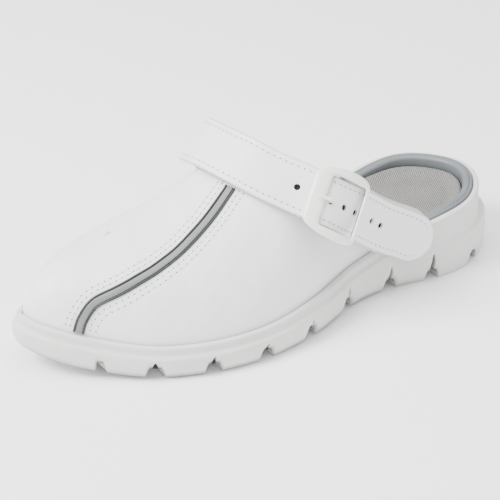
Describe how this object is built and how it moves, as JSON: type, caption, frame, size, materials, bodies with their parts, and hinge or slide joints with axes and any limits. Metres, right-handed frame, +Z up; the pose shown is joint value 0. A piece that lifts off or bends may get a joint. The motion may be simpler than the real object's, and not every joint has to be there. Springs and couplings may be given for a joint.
{
  "type": "leather clog",
  "caption": "Left work clog with closed rounded toe, open back, lugged moulded sole, padded heel rim and a buckled heel strap worn forward over the instep.",
  "frame": {"origin": "on the floor under the middle of the shoe's bounding box", "axes": "+Z up, +Y towards the heel (the toe points along -Y), +X towards the outer (lateral) side of this left shoe"},
  "size_m": [0.1078, 0.287, 0.0997],
  "materials": {
    "white_leather": "smooth, lightly grained, satin",
    "white_sole": "moulded foam, matt",
    "grey_rim": "soft padded lining, satin",
    "woven_bed": "coarse weave",
    "grey_stripe": "smooth, satin",
    "dark_piping": "matt",
    "ivory_plastic": "glossy"
  },
  "bodies": {
    "root": {"sole": "white_sole", "upper": "white_leather", "insole": "woven_bed", "heel_rim": "grey_rim", "stripe": "grey_stripe", "piping_front": "dark_piping", "piping_rear": "dark_piping", "strap": "white_leather", "strap_tab": "white_leather", "buckle": "ivory_plastic", "buckle_prong": "ivory_plastic", "rivet_inner_side": "ivory_plastic", "rivet_outer_side": "ivory_plastic"}
  },
  "joints": []
}
